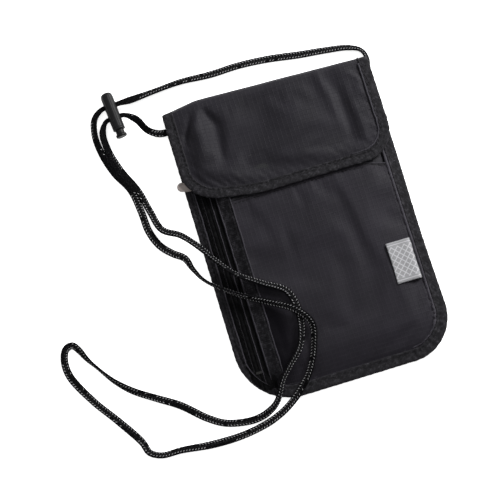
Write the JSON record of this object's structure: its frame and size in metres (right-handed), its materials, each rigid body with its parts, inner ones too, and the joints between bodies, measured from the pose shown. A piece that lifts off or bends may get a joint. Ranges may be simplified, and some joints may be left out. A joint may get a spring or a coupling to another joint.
{
  "type": "neck pouch wallet",
  "caption": "Flat fabric neck pouch with a fold-over flap, a vertical zip, a side label, and a flat neck lace with a spring cord lock.",
  "frame": {"origin": "centre of the pouch's back face, on the surface it lies on", "axes": "+Y from the bottom seam towards the fold, +X to the right seen from the front, +Z out of the front"},
  "size_m": [0.2486, 0.2402, 0.0127],
  "materials": {
    "shell_fabric": "thin black ripstop nylon",
    "lining_fabric": "plain grey nylon",
    "shield_film": "metallised film",
    "binding_tape": "ribbed black tape",
    "zip_tape": "black woven tape",
    "zip_coil": "black nylon",
    "zip_metal": "dark grey lacquer",
    "pull_metal": "satin grey",
    "hook_loop": "hook and loop pile",
    "label_weave": "grey woven label",
    "lace_braid": "flat black braid with light flecks",
    "lock_plastic": "satin dark grey",
    "lock_button": "satin black",
    "spring_steel": "bright wire"
  },
  "bodies": {
    "pouch": {"back_panel": "shell_fabric", "shield_film": "shield_film", "divider_panel": "lining_fabric", "front_panel": "shell_fabric", "pocket_hem": "binding_tape", "edge_binding": "binding_tape", "zip_facing": "binding_tape", "zip_tape_left": "zip_tape", "zip_tape_right": "zip_tape", "zip_coil_left": "zip_coil", "zip_coil_right": "zip_coil", "zip_top_stop": "zip_metal", "zip_bottom_stop": "zip_metal", "loop_patch": "hook_loop", "woven_label": "label_weave", "neck_cord": "lace_braid", "lock_barrel": "lock_plastic", "lock_spring": "spring_steel"},
    "fold": {"flap_spine": "shell_fabric"},
    "flap": {"flap_outer": "shell_fabric", "flap_lining": "lining_fabric", "flap_binding": "binding_tape", "hook_patch": "hook_loop"},
    "slider": {"zip_slider": "zip_metal"},
    "puller": {"zip_puller": "pull_metal"},
    "plunger": {"lock_plunger": "lock_button"}
  },
  "joints": [
    {"name": "fold_hinge", "type": "hinge", "parent": "pouch", "child": "fold", "pos_m": [0, 0.10075, 0.00025], "axis": [-1, 0, 0], "range_deg": [0, 40]},
    {"name": "flap_hinge", "type": "hinge", "parent": "fold", "child": "flap", "pos_m": [0, 0.10075, 0.0076], "axis": [-1, 0, 0], "range_deg": [0, 120]},
    {"name": "slider_slide", "type": "slide", "parent": "pouch", "child": "slider", "axis": [0, -1, 0], "range_m": [0, 0.12]},
    {"name": "pull_swivel", "type": "hinge", "parent": "slider", "child": "puller", "pos_m": [-0.058, 0.047, 0.0047], "axis": [0, 0, 1], "range_deg": [-29, 106]},
    {"name": "plunger_press", "type": "slide", "parent": "pouch", "child": "plunger", "axis": [-0.0802, 0.9968, 0], "range_m": [0, 0.0025], "stiffness_N_per_m": 400, "springref_m": -0.003, "deforming": ["lock_spring"]}
  ],
  "couplings": [
    {"joint": "flap_hinge", "follows": "fold_hinge", "ratio": 3}
  ]
}
